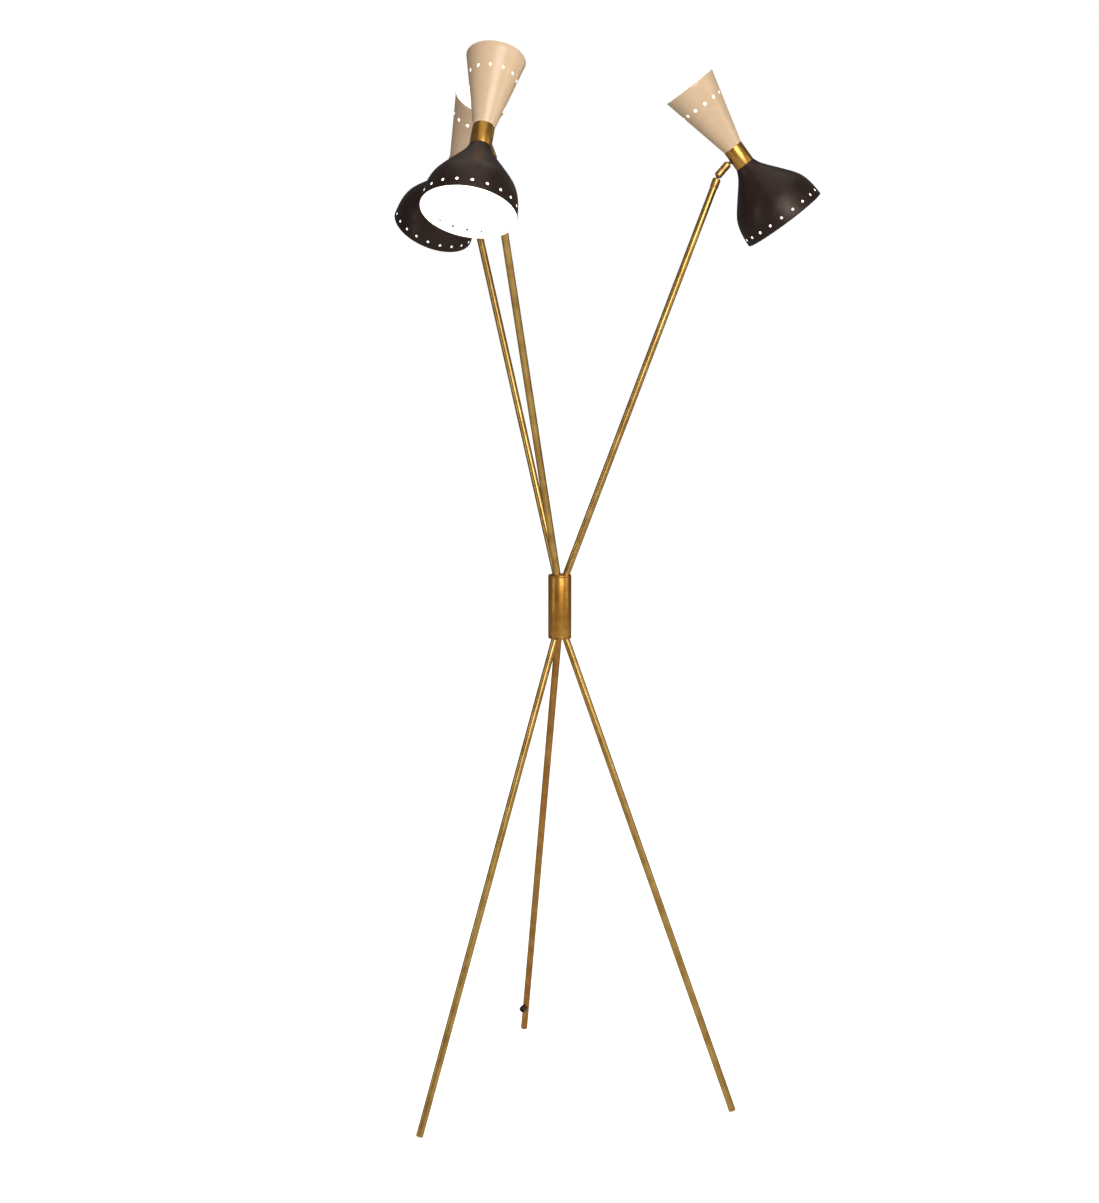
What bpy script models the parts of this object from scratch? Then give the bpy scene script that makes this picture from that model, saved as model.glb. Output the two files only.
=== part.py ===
"""Tripod floor lamp: three legs and three arms meet in a brass hub, every arm
carries a double shade on a two-ball swivel."""
import bpy
import bmesh
import math
from mathutils import Matrix
from mathutils import Vector

MM = 0.001

# ---------------------------------------------------------------- the stand
HUB_SHIFT = (-71.85 * MM, 17.54 * MM)   # where the hub stands, so that the lamp is centred
ROD_R = 6.35 * MM               # half-inch brass rod
ROD_BORE_R = 5.2 * MM
HUB_R = 20.6 * MM
HUB_WALL = 2.0 * MM
HUB_BOTTOM = 836.3 * MM
HUB_TOP = 950.0 * MM
CAP_FLANGE = 4.0 * MM
CAP_DEPTH = 8.0 * MM
CAP_EDGE = 1.3 * MM
CORNER = 0.29                   # how far a rounded corner keeps off the sharp one
CAP_GAP = 0.3 * MM
CAP_BORE_REACH = 20.0 * MM
BORE_GAP = 0.3 * MM
ROD_CIRCLE_R = 11.4 * MM        # how far from the hub axis a rod leaves the hub face
FOOT_CIRCLE_R = 324.2 * MM
LEG_AZIMUTH = {"right": -18.3, "back": 102.3, "left": -138.4}
ARM_AZIMUTH = {"right": 7.0, "back": 127.2, "front": -112.9}
ARM_TIP_CIRCLE_R = 275.3 * MM
ARM_TIP_HEIGHT = 1639.0 * MM
ROD_SIDES = 16
HUB_SIDES = 36
TURNED_SIDES = 16            # small turned pieces
HOLDER_SIDES = 12
HOLE_SIDES = 12
BORE_SIDES = 24

# ----------------------------------------------------------------- the feet
FOOT_LENGTH = 7.0 * MM
FOOT_EDGE = 0.8 * MM
FOOT_SPIGOT = 9.0 * MM
FLAT_GROUND = 1.1 * MM

# --------------------------------------------------------- the cable outlet
NOZZLE_ABOVE_FOOT = 55.0 * MM
NOZZLE_R = 6.4 * MM
NOZZLE_BORE_R = 4.5 * MM
NOZZLE_REACH = 12.4 * MM
# the drop-shaped side of the snout: share of its reach, share of its radius
NOZZLE_SHAPE = ((-0.40, 0.0), (-0.29, 0.5), (0.0, 0.82), (0.6, 1.0), (1.0, 0.93))
BUSHING_DEPTH = 1.6 * MM
BUSHING_BORE_R = 2.4 * MM
BUSHING_LIP = 2.6 * MM
BUSHING_EDGE = 1.0 * MM
BUSHING_R_SHARE = 0.95          # of the snout's radius
OUTLET_HOLE_R = 3.0 * MM        # through the tube wall behind the snout
OUTLET_HOLE_REACH = 30.0 * MM
SADDLE_SIDES = 40
NOZZLE_SIDE = (-0.55, -0.84, 0.0)
NOZZLE_DIVE = 0.08

# -------------------------------------------------------- the end of an arm
FERRULE_R = 7.2 * MM
FERRULE_LENGTH = 17.0 * MM
FERRULE_SOLID = 5.0 * MM
FERRULE_EDGE = 1.6 * MM
FERRULE_EDGE_MIDDLE = 0.5 * MM
STEM_R = 2.1 * MM
STEM_DISC_R = 4.2 * MM
STEM_DISC = 1.6 * MM
STEM_RISE = 6.4 * MM            # from the ferrule top to the first ball

# --------------------------------------------------------- the ball swivel
BALL_R = 5.2 * MM
CUP_R = 5.75 * MM
BARREL_R = 6.7 * MM
BALL_PITCH = 23.0 * MM
BARREL_LIP = 3.0 * MM
BARREL_MOUTH_R = 5.4 * MM
BARREL_TAPER = 1.7 * MM
BALL_STEPS = 5
BARREL_GROOVE_R = 5.9 * MM
BARREL_GROOVE = 0.9 * MM
BARREL_HALF_GAP = 0.3 * MM

# ------------------------------------------------------------ collar, nipple
COLLAR_R = 17.6 * MM
COLLAR_SIDES = 32
COLLAR_WALL = 1.6 * MM
COLLAR_HALF = 18.0 * MM
BALL_TO_COLLAR = 8.0 * MM
PIVOT_DISC_R = 4.0 * MM
PIVOT_DISC = 1.3 * MM
PIVOT_DISC_GAP = 0.6 * MM
NIPPLE_R = 5.0 * MM
NIPPLE_BORE_R = 3.6 * MM
NIPPLE_INTO_HOLDER = 9.0 * MM
STUD_HOLE_NEAR = 6.0 * MM
STUD_HOLE_FAR = 26.0 * MM
FIT = 0.3 * MM                  # gap left between two pieces that touch
SMOOTH_BELOW = math.radians(32.0)

# ----------------------------------------------------------------- the cone
CONE_LENGTH = 127.7 * MM
CONE_RIM_R = 47.9 * MM
CONE_WALL = 1.2 * MM
CONE_HOLES = 12
CONE_HOLE_R = 2.6 * MM
CONE_HOLE_FROM_RIM = 38.5 * MM
CONE_SIDES = 24
CONE_NECK_R = COLLAR_R - 0.2 * MM
# how far each shade was turned before its nut was tightened, in degrees
CONE_TURN = {"right": 23.5, "back": 8.0, "front": 18.5}

# ----------------------------------------------------------------- the bell
# outer side of the bell: distance from the collar, radius
BELL_SHAPE = (
    (0.0, 17.5), (12.0, 22.9), (25.0, 33.0), (40.0, 45.0),
    (56.0, 57.6), (72.0, 68.0), (90.0, 73.7), (118.2, 76.3))
BELL_WALL = 1.2 * MM
BELL_HOLES = 20
BELL_HOLE_R = 2.5 * MM
BELL_HOLE_FROM_RIM = 12.5 * MM
BELL_SIDES = 40
BELL_TURN = {"right": 15.0, "back": 6.0, "front": 9.0}
PUNCH_REACH = 4.0 * MM          # how far a hole punch goes each side of the wall
PUNCH_SIDES = 8

# ------------------------------------------------------ the lamp holders
SHADE_FLOOR = 1.6 * MM
SOCKET_UP = {"r": 10.5, "length": 34.0}
SOCKET_WALL = 2.0 * MM
SOCKET_EDGE = 1.0 * MM
SOCKET_SOLID = 11.0 * MM
SOCKET_DOWN = {"r": 13.0, "length": 40.0}
BULB_CAP_LENGTH = 20.0 * MM
BULB_CAP_GAP = 0.4 * MM
BULB_ABOVE_SOCKET = 0.5 * MM
BULB_NECK = 1.0 * MM
BULB_TIP = 0.8 * MM
BULB_UP = ((0.0, 6.6), (6.0, 7.2), (18.0, 12.2), (32.0, 13.2), (44.0, 10.8), (53.0, 3.2))
BULB_DOWN = ((0.0, 9.0), (6.0, 9.8), (20.0, 18.0), (34.0, 22.4), (48.0, 20.0), (60.0, 5.0))

# how every lamp is set at rest, in degrees: turn of the neck, bend of the
# first ball, bend of the second ball, roll of the shades on the stud
REST_POSE = {
    "right": (0.0, 20.4, 11.2, 0.0),
    "back": (9.0, 20.4, 9.0, -11.0),
    "front": (-2.0, 23.0, 18.2, 4.0)}

# name: colour, roughness, metallic
FINISHES = {
    "aged_brass": ((0.42, 0.25, 0.08), 0.38, 1.0),
    "dark_brass": ((0.30, 0.17, 0.05), 0.42, 1.0),
    "bright_brass": ((0.58, 0.36, 0.13), 0.30, 1.0),
    "cream_enamel": ((0.80, 0.63, 0.45), 0.25, 0.0),
    "brown_enamel": ((0.028, 0.014, 0.012), 0.35, 0.0),
    "black_rubber": ((0.012, 0.012, 0.012), 0.7, 0.0),
    "white_porcelain": ((0.75, 0.73, 0.68), 0.3, 0.0),
    "opal_glass": ((0.92, 0.88, 0.80), 0.15, 0.0)}


def clear_scene():
    """Start from an empty file."""
    for thing in list(bpy.data.objects):
        bpy.data.objects.remove(thing, do_unlink=True)


def finish(name):
    """The material of that name, made once."""
    ready = bpy.data.materials.get(name)
    if ready:
        return ready
    colour, roughness, metallic = FINISHES[name]
    made = bpy.data.materials.new(name)
    made.use_nodes = True
    shader = made.node_tree.nodes["Principled BSDF"]
    shader.inputs["Base Color"].default_value = (*colour, 1.0)
    shader.inputs["Roughness"].default_value = roughness
    shader.inputs["Metallic"].default_value = metallic
    made.diffuse_color = (*colour, 1.0)
    return made


def revolve(name, outline, sides, place, surface, half_step=False):
    """Turn a closed outline of (radius, height) points round the local Z axis."""
    shape = bmesh.new()
    start = math.pi / sides if half_step else 0.0
    rings = []
    for radius, height in outline:
        if radius <= 0.0:
            rings.append([shape.verts.new((0.0, 0.0, height))])
            continue
        ring = []
        for step in range(sides):
            angle = start + 2.0 * math.pi * step / sides
            ring.append(shape.verts.new((radius * math.cos(angle), radius * math.sin(angle), height)))
        rings.append(ring)
    for index in range(len(rings)):
        one = rings[index]
        two = rings[(index + 1) % len(rings)]
        if len(one) == 1 and len(two) == 1:
            continue
        for step in range(sides):
            after = (step + 1) % sides
            if len(one) == 1:
                shape.faces.new((one[0], two[step], two[after]))
            elif len(two) == 1:
                shape.faces.new((one[step], two[0], one[after]))
            else:
                shape.faces.new((one[step], two[step], two[after], one[after]))
    bmesh.ops.recalc_face_normals(shape, faces=shape.faces)
    mesh = bpy.data.meshes.new(name)
    shape.to_mesh(mesh)
    shape.free()
    piece = bpy.data.objects.new(name, mesh)
    bpy.context.scene.collection.objects.link(piece)
    piece.matrix_world = place
    if surface:
        mesh.materials.append(finish(surface))
    return piece


def carry(piece, frame):
    """Give a piece another origin without moving it."""
    piece.data.transform(frame.inverted() @ piece.matrix_world)
    piece.matrix_world = frame


def rod(name, radius, low, high, sides, place, surface=None):
    """A plain solid cylinder between two heights."""
    return revolve(name, ((0.0, low), (radius, low), (radius, high), (0.0, high)), sides, place, surface)


def joined(name, pieces):
    """One object that holds several separate cutters."""
    shape = bmesh.new()
    for piece in pieces:
        start = len(shape.verts)
        shape.from_mesh(piece.data)
        shape.verts.ensure_lookup_table()
        moved = shape.verts[start:]
        bmesh.ops.transform(shape, matrix=piece.matrix_world, verts=moved)
        bpy.data.objects.remove(piece, do_unlink=True)
    mesh = bpy.data.meshes.new(name)
    shape.to_mesh(mesh)
    shape.free()
    made = bpy.data.objects.new(name, mesh)
    bpy.context.scene.collection.objects.link(made)
    return made


def cut(piece, cutter):
    """Take the cutter's volume away from the piece and throw the cutter away."""
    bpy.context.view_layer.update()
    change = piece.modifiers.new("cut", "BOOLEAN")
    change.operation = "DIFFERENCE"
    change.solver = "EXACT"
    change.object = cutter
    graph = bpy.context.evaluated_depsgraph_get()
    carved = bpy.data.meshes.new_from_object(piece.evaluated_get(graph))
    piece.modifiers.clear()
    piece.data = carved
    bpy.data.objects.remove(cutter, do_unlink=True)
    tidy = bmesh.new()
    tidy.from_mesh(carved)
    bmesh.ops.remove_doubles(tidy, verts=tidy.verts, dist=0.000005)
    bmesh.ops.dissolve_degenerate(tidy, edges=tidy.edges, dist=0.000005)
    tidy.to_mesh(carved)
    tidy.free()


def turn(axis, degrees):
    """Rotation about one local axis."""
    return Matrix.Rotation(math.radians(degrees), 4, axis)


def move(x, y, z):
    """Shift by a vector."""
    return Matrix.Translation(Vector((x, y, z)))


def lean(rise, near, far):
    """Angle from upright of a rod that goes from one radius to another."""
    return math.degrees(math.atan2(far - near, rise))


def hub_place(height):
    """A frame on the hub axis."""
    return move(HUB_SHIFT[0], HUB_SHIFT[1], height)


LEG_LEAN = lean(HUB_BOTTOM, ROD_CIRCLE_R, FOOT_CIRCLE_R)
ARM_RISE = ARM_TIP_HEIGHT - HUB_TOP
ARM_LEAN = lean(ARM_RISE, ROD_CIRCLE_R, ARM_TIP_CIRCLE_R)
ARM_LENGTH = math.hypot(ARM_RISE, ARM_TIP_CIRCLE_R - ROD_CIRCLE_R)


def leg_place(azimuth):
    """Frame of a leg: origin in the hub's lower face, Z down along the leg."""
    start = hub_place(HUB_BOTTOM) @ turn("Z", azimuth) @ move(ROD_CIRCLE_R, 0.0, 0.0)
    return start @ turn("Y", 180.0 - LEG_LEAN)


def arm_place(azimuth):
    """Frame of an arm: origin in the hub's upper face, Z up along the arm."""
    return hub_place(HUB_TOP) @ turn("Z", azimuth) @ move(ROD_CIRCLE_R, 0.0, 0.0) @ turn("Y", ARM_LEAN)


def cap_outline():
    """Half section of a hub cap: rounded flange above, spigot below."""
    edge = CAP_EDGE
    spigot = HUB_R - HUB_WALL - CAP_GAP
    return (
        (0.0, 0.0),
        (HUB_R - edge, 0.0),
        (HUB_R - edge * CORNER, -edge * CORNER),
        (HUB_R, -edge),
        (HUB_R, -CAP_FLANGE),
        (spigot, -CAP_FLANGE),
        (spigot, -CAP_DEPTH),
        (0.0, -CAP_DEPTH))


def make_hub():
    """Sleeve and two caps with slanted bores."""
    length = HUB_TOP - HUB_BOTTOM
    inner = HUB_R - HUB_WALL
    low = CAP_FLANGE + FIT
    high = length - CAP_FLANGE - FIT
    outline = ((inner, low), (HUB_R, low), (HUB_R, high), (inner, high))
    revolve("hub_sleeve", outline, HUB_SIDES, hub_place(HUB_BOTTOM), "dark_brass")
    top = revolve("hub_top_cap", cap_outline(), HUB_SIDES, hub_place(HUB_TOP), "dark_brass")
    under = hub_place(HUB_BOTTOM) @ turn("X", 180.0)
    bottom = revolve("hub_bottom_cap", cap_outline(), HUB_SIDES, under, "dark_brass")
    reach = CAP_BORE_REACH
    bore = ROD_R + BORE_GAP
    arms = [rod("bore", bore, -reach, reach, BORE_SIDES, arm_place(a)) for a in ARM_AZIMUTH.values()]
    legs = [rod("bore", bore, -reach, reach, BORE_SIDES, leg_place(a)) for a in LEG_AZIMUTH.values()]
    bpy.context.view_layer.update()
    for cap, bores in ((top, arms), (bottom, legs)):
        for cutter in bores:
            cut(cap, cutter)


def foot_reach():
    """Distance along the leg axis from the hub face to the square-cut end."""
    lean_angle = math.radians(LEG_LEAN)
    return (HUB_BOTTOM - ROD_R * math.sin(lean_angle) + FLAT_GROUND) / math.cos(lean_angle)


def make_leg(side):
    """A leg tube, its end plug and the flat it stands on."""
    place = leg_place(LEG_AZIMUTH[side])
    end = foot_reach()
    start = -CAP_DEPTH
    stop = end - FOOT_LENGTH - FIT
    outline = ((ROD_BORE_R, start), (ROD_R, start), (ROD_R, stop), (ROD_BORE_R, stop))
    leg = revolve("leg_" + side, outline, ROD_SIDES, place, "aged_brass")
    spigot = ROD_BORE_R - FIT
    plug = (
        (0.0, stop - FOOT_SPIGOT),
        (spigot, stop - FOOT_SPIGOT),
        (spigot, stop + FIT),
        (ROD_R, stop + FIT),
        (ROD_R, end - FOOT_EDGE),
        (ROD_R - FOOT_EDGE * CORNER, end - FOOT_EDGE * CORNER),
        (ROD_R - FOOT_EDGE, end),
        (0.0, end))
    foot = revolve("foot_" + side, plug, ROD_SIDES, place, "aged_brass")
    grind(foot)
    return leg


def grind(foot):
    """Take off whatever would reach below the floor, and close the flat."""
    shape = bmesh.new()
    shape.from_mesh(foot.data)
    bpy.context.view_layer.update()
    back = foot.matrix_world.inverted()
    point = back @ Vector((foot.matrix_world.translation.x, foot.matrix_world.translation.y, 0.0))
    up = (back.to_3x3() @ Vector((0.0, 0.0, 1.0))).normalized()
    everything = shape.verts[:] + shape.edges[:] + shape.faces[:]
    found = bmesh.ops.bisect_plane(
        shape, geom=everything, dist=0.000001, plane_co=point, plane_no=up, clear_inner=True)
    rim = [item for item in found["geom_cut"] if isinstance(item, bmesh.types.BMEdge)]
    bmesh.ops.edgenet_fill(shape, edges=rim)
    bmesh.ops.recalc_face_normals(shape, faces=shape.faces)
    shape.to_mesh(foot.data)
    shape.free()


def nozzle_place():
    """Frame of the snout: origin on the leg axis, Z out of its mouth."""
    place = leg_place(LEG_AZIMUTH["back"]) @ move(0.0, 0.0, foot_reach() - NOZZLE_ABOVE_FOOT)
    down_leg = (place.to_3x3() @ Vector((0.0, 0.0, 1.0))).normalized()
    side = Vector(NOZZLE_SIDE)
    side = (side - side.dot(down_leg) * down_leg).normalized()
    out = (side + NOZZLE_DIVE * down_leg).normalized()
    across = down_leg.cross(side).normalized()
    third = out.cross(across).normalized()
    turned = Matrix((across, third, out)).transposed()
    if turned.determinant() < 0.0:
        turned = Matrix((-across, third, out)).transposed()
    return Matrix.Translation(place.translation) @ turned.to_4x4()


def make_cable_outlet(leg):
    """Teardrop snout on the back leg with its black lining, and the hole behind it."""
    place = nozzle_place()
    wide = NOZZLE_R
    mouth = NOZZLE_REACH
    outline = [(wide * radius, mouth * reach) for reach, radius in NOZZLE_SHAPE]
    outline += [(NOZZLE_BORE_R, mouth), (NOZZLE_BORE_R, 0.0), (0.0, 0.0)]
    nozzle = revolve("cable_nozzle", outline, TURNED_SIDES, place, "dark_brass")
    leg_frame = leg_place(LEG_AZIMUTH["back"])
    end = foot_reach()
    cut(nozzle, rod("saddle", ROD_R + FIT, end - 2.0 * NOZZLE_ABOVE_FOOT, end, SADDLE_SIDES, leg_frame))
    lip = wide * BUSHING_R_SHARE
    lining = (
        (BUSHING_BORE_R, mouth - BUSHING_DEPTH),
        (NOZZLE_BORE_R - FIT, mouth - BUSHING_DEPTH),
        (NOZZLE_BORE_R - FIT, mouth + FIT),
        (lip, mouth + FIT),
        (lip, mouth + BUSHING_LIP - BUSHING_EDGE),
        (lip - BUSHING_EDGE, mouth + BUSHING_LIP),
        (BUSHING_BORE_R + BUSHING_EDGE, mouth + BUSHING_LIP),
        (BUSHING_BORE_R, mouth + BUSHING_LIP - BUSHING_EDGE))
    revolve("cable_bushing", lining, TURNED_SIDES, place, "black_rubber")
    cut(leg, rod("outlet", OUTLET_HOLE_R, 0.0, OUTLET_HOLE_REACH, HOLE_SIDES, place))


def make_arm(side):
    """An arm tube with the ferrule on its end."""
    place = arm_place(ARM_AZIMUTH[side])
    tube_end = ARM_LENGTH - FERRULE_SOLID - FIT
    outline = ((ROD_BORE_R, -CAP_DEPTH), (ROD_R, -CAP_DEPTH), (ROD_R, tube_end), (ROD_BORE_R, tube_end))
    revolve("arm_" + side, outline, ROD_SIDES, place, "aged_brass")
    top = ARM_LENGTH
    inside = ROD_R + FIT
    shell = (
        (inside, top - FERRULE_LENGTH),
        (FERRULE_R, top - FERRULE_LENGTH),
        (FERRULE_R, top - FERRULE_EDGE),
        (FERRULE_R - FERRULE_EDGE_MIDDLE, top - FERRULE_EDGE_MIDDLE),
        (FERRULE_R - FERRULE_EDGE, top),
        (STEM_R + FIT, top),
        (STEM_R + FIT, top - FERRULE_SOLID),
        (inside, top - FERRULE_SOLID))
    revolve("ferrule_" + side, shell, TURNED_SIDES, place, "aged_brass")


def arc(radius, first, last, steps):
    """Points of a ball's half section, angles measured from the lower pole."""
    found = []
    for step in range(steps + 1):
        angle = math.radians(first + (last - first) * step / steps)
        found.append((radius * math.sin(angle), -radius * math.cos(angle)))
    return found


def ball_stem_outline():
    """Disc in the arm, thin neck, ball at the origin."""
    under = -STEM_RISE - FERRULE_SOLID - FIT
    blend = math.degrees(math.asin(STEM_R / BALL_R))
    outline = [
        (0.0, under - STEM_DISC),
        (STEM_DISC_R, under - STEM_DISC),
        (STEM_DISC_R, under),
        (STEM_R, under)]
    outline += arc(BALL_R, blend, 180.0, BALL_STEPS)[:-1]
    outline.append((0.0, BALL_R))
    return outline


def barrel_outline():
    """Half of the swivel barrel, the cup round the ball at the origin."""
    half = BALL_PITCH / 2.0 - BARREL_HALF_GAP / 2.0
    lip = math.degrees(math.acos(BARREL_LIP / CUP_R))
    cup = arc(CUP_R, lip, 180.0, BALL_STEPS)
    cup[-1] = (0.0, CUP_R)
    outline = list(reversed(cup))
    outline += [
        (BARREL_MOUTH_R, -BARREL_LIP),
        (BARREL_R, -BARREL_LIP + BARREL_TAPER),
        (BARREL_R, half - BARREL_GROOVE),
        (BARREL_GROOVE_R, half - BARREL_GROOVE),
        (BARREL_GROOVE_R, half),
        (0.0, half)]
    return outline


def pivot_outline():
    """Ball at the origin, stud through the collar wall, disc inside the collar."""
    wall_inside = BALL_TO_COLLAR + COLLAR_WALL
    blend = math.degrees(math.asin(STEM_R / BALL_R))
    outline = [(0.0, -BALL_R)]
    outline += arc(BALL_R, 0.0, 180.0 - blend, BALL_STEPS)[1:]
    outline += [
        (STEM_R, wall_inside + PIVOT_DISC_GAP),
        (PIVOT_DISC_R, wall_inside + PIVOT_DISC_GAP),
        (PIVOT_DISC_R, wall_inside + PIVOT_DISC_GAP + PIVOT_DISC),
        (0.0, wall_inside + PIVOT_DISC_GAP + PIVOT_DISC)]
    return outline


def shell_outline(outer, wall, hole_r):
    """Section of a spun shade with a flat floor: outside points, then back inside."""
    floor = SHADE_FLOOR
    inner = []
    for index, (height, radius) in enumerate(outer):
        before = outer[max(index - 1, 0)]
        after = outer[min(index + 1, len(outer) - 1)]
        run = Vector((after[0] - before[0], after[1] - before[1])).normalized()
        inner.append((height + run.y * wall, radius - run.x * wall))
    inner[-1] = (outer[-1][0], outer[-1][1] - wall)
    first = inner[0]
    second = inner[1]
    slope = (second[1] - first[1]) / (second[0] - first[0])
    inner[0] = (floor, first[1] + slope * (floor - first[0]))
    outline = [(hole_r, 0.0)]
    outline += [(radius, height) for height, radius in outer]
    outline += [(radius, height) for height, radius in reversed(inner)]
    outline.append((hole_r, floor))
    return outline


def row_of_holes(count, radius, middle, height, tilt, place):
    """Cutters for one row of round holes square to the shade's side."""
    cutters = []
    for number in range(count):
        angle = 360.0 * number / count
        spot = place @ turn("Z", angle) @ move(middle, 0.0, height) @ turn("Y", 90.0 - tilt)
        cutters.append(rod("hole", radius, -PUNCH_REACH, PUNCH_REACH, PUNCH_SIDES, spot))
    bpy.context.view_layer.update()
    return joined("holes", cutters)


def make_cone(side, place):
    """Cream shade: a straight cone with one row of holes."""
    place = place @ turn("Z", CONE_TURN[side])
    neck = CONE_NECK_R
    outer = ((0.0, neck), (CONE_LENGTH - FIT, CONE_RIM_R))
    piece = revolve("cone_" + side, shell_outline(outer, CONE_WALL, NIPPLE_R + FIT), CONE_SIDES,
                    place, "cream_enamel", half_step=True)
    height = CONE_LENGTH - CONE_HOLE_FROM_RIM
    share = height / CONE_LENGTH
    middle = neck + (CONE_RIM_R - neck) * share
    tilt = math.degrees(math.atan2(CONE_RIM_R - neck, CONE_LENGTH))
    cut(piece, row_of_holes(CONE_HOLES, CONE_HOLE_R, middle, height, tilt, place))
    return piece


def make_bell(side, place):
    """Dark shade: a bell with one row of holes near the rim."""
    place = place @ turn("Z", BELL_TURN[side])
    outer = [(height * MM, radius * MM) for height, radius in BELL_SHAPE]
    piece = revolve("bell_" + side, shell_outline(outer, BELL_WALL, NIPPLE_R + FIT), BELL_SIDES,
                    place, "brown_enamel", half_step=True)
    height = outer[-1][0] - BELL_HOLE_FROM_RIM
    low = outer[-2]
    top = outer[-1]
    share = (height - low[0]) / (top[0] - low[0])
    middle = low[1] + (top[1] - low[1]) * share
    tilt = math.degrees(math.atan2(top[1] - low[1], top[0] - low[0]))
    cut(piece, row_of_holes(BELL_HOLES, BELL_HOLE_R, middle, height, tilt, place))
    return piece


def make_holder(name, size, place):
    """Lamp holder: a hollow pot with a closed floor that is bored for the nipple."""
    radius = size["r"] * MM
    length = size["length"] * MM
    low = SHADE_FLOOR + FIT
    inner = radius - SOCKET_WALL
    outline = (
        (NIPPLE_R + FIT, low),
        (radius - SOCKET_EDGE, low),
        (radius, low + SOCKET_EDGE),
        (radius, low + length),
        (inner, low + length),
        (inner, low + SOCKET_SOLID),
        (NIPPLE_R + FIT, low + SOCKET_SOLID))
    return revolve(name, outline, HOLDER_SIDES, place, "white_porcelain")


def make_bulb(name, shape, size, place):
    """Opal bulb with its cap inside the holder."""
    base = SHADE_FLOOR + FIT + size["length"] * MM + BULB_ABOVE_SOCKET
    cap_r = size["r"] * MM - SOCKET_WALL - BULB_CAP_GAP
    outline = [(0.0, base - BULB_CAP_LENGTH), (cap_r, base - BULB_CAP_LENGTH), (cap_r, base - BULB_NECK)]
    outline += [(radius * MM, base + height * MM) for height, radius in shape]
    outline.append((0.0, base + shape[-1][0] * MM + BULB_TIP))
    return revolve(name, outline, HOLDER_SIDES, place, "opal_glass")


def make_lamp(side):
    """Swivel, collar, two shades, holders and bulbs on the end of one arm."""
    yaw, low_bend, high_bend, roll = REST_POSE[side]
    tip = arm_place(ARM_AZIMUTH[side]) @ move(0.0, 0.0, ARM_LENGTH + STEM_RISE) @ turn("Z", yaw)
    barrel = tip @ turn("Y", low_bend)
    pivot = barrel @ move(0.0, 0.0, BALL_PITCH) @ turn("Y", high_bend)
    centre = pivot @ move(0.0, 0.0, BALL_TO_COLLAR + COLLAR_R) @ turn("Z", roll)
    down = centre @ turn("Y", 90.0)
    up = centre @ turn("Y", -90.0)
    revolve("ball_stem_" + side, ball_stem_outline(), TURNED_SIDES, tip, "dark_brass")
    revolve("barrel_lower_" + side, barrel_outline(), TURNED_SIDES, barrel, "aged_brass")
    far = barrel @ move(0.0, 0.0, BALL_PITCH) @ turn("Y", 180.0)
    revolve("barrel_upper_" + side, barrel_outline(), TURNED_SIDES, far, "aged_brass")
    revolve("pivot_" + side, pivot_outline(), TURNED_SIDES, pivot, "dark_brass")
    inner = COLLAR_R - COLLAR_WALL
    band = ((inner, -COLLAR_HALF), (COLLAR_R, -COLLAR_HALF), (COLLAR_R, COLLAR_HALF), (inner, COLLAR_HALF))
    collar = revolve("collar_" + side, band, COLLAR_SIDES, down, "bright_brass")
    cut(collar, rod("stud_hole", STEM_R + FIT, -STUD_HOLE_FAR, -STUD_HOLE_NEAR, HOLE_SIDES, centre))
    thread = COLLAR_HALF + SHADE_FLOOR + NIPPLE_INTO_HOLDER
    tube = ((NIPPLE_BORE_R, -thread), (NIPPLE_R, -thread), (NIPPLE_R, thread), (NIPPLE_BORE_R, thread))
    revolve("nipple_" + side, tube, HOLDER_SIDES, down, "dark_brass")
    cone_place = up @ move(0.0, 0.0, COLLAR_HALF + FIT)
    bell_place = down @ move(0.0, 0.0, COLLAR_HALF + FIT)
    carry(make_cone(side, cone_place), up)
    carry(make_bell(side, bell_place), down)
    carry(make_holder("socket_up_" + side, SOCKET_UP, cone_place), up)
    carry(make_holder("socket_down_" + side, SOCKET_DOWN, bell_place), down)
    carry(make_bulb("bulb_up_" + side, BULB_UP, SOCKET_UP, cone_place), up)
    carry(make_bulb("bulb_down_" + side, BULB_DOWN, SOCKET_DOWN, bell_place), down)


def smooth_round_faces():
    """Shade the turned pieces smooth and keep their turned edges crisp."""
    for piece in bpy.context.scene.objects:
        shape = bmesh.new()
        shape.from_mesh(piece.data)
        for face in shape.faces:
            face.smooth = True
        for edge in shape.edges:
            edge.smooth = len(edge.link_faces) == 2 and edge.calc_face_angle(0.0) < SMOOTH_BELOW
        shape.to_mesh(piece.data)
        shape.free()


clear_scene()
make_hub()
legs = {side: make_leg(side) for side in LEG_AZIMUTH}
make_cable_outlet(legs["back"])
for side in ARM_AZIMUTH:
    make_arm(side)
    make_lamp(side)
smooth_round_faces()
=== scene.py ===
# %% [markdown]
# # A tripod floor lamp with three double shades
#
# Three brass legs and three brass arms meet in a hub. Every arm carries a
# swivel with two balls, and on it a pair of shades: a cream cone that throws
# light up and a dark bell that throws light down. Nearly every piece of such a
# lamp is made on a lathe, so nearly every piece here is drawn as half a section
# and spun round its own axis.

# %% Load the frame
import math

import bmesh
import bpy
from mathutils import Matrix, Vector


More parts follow.
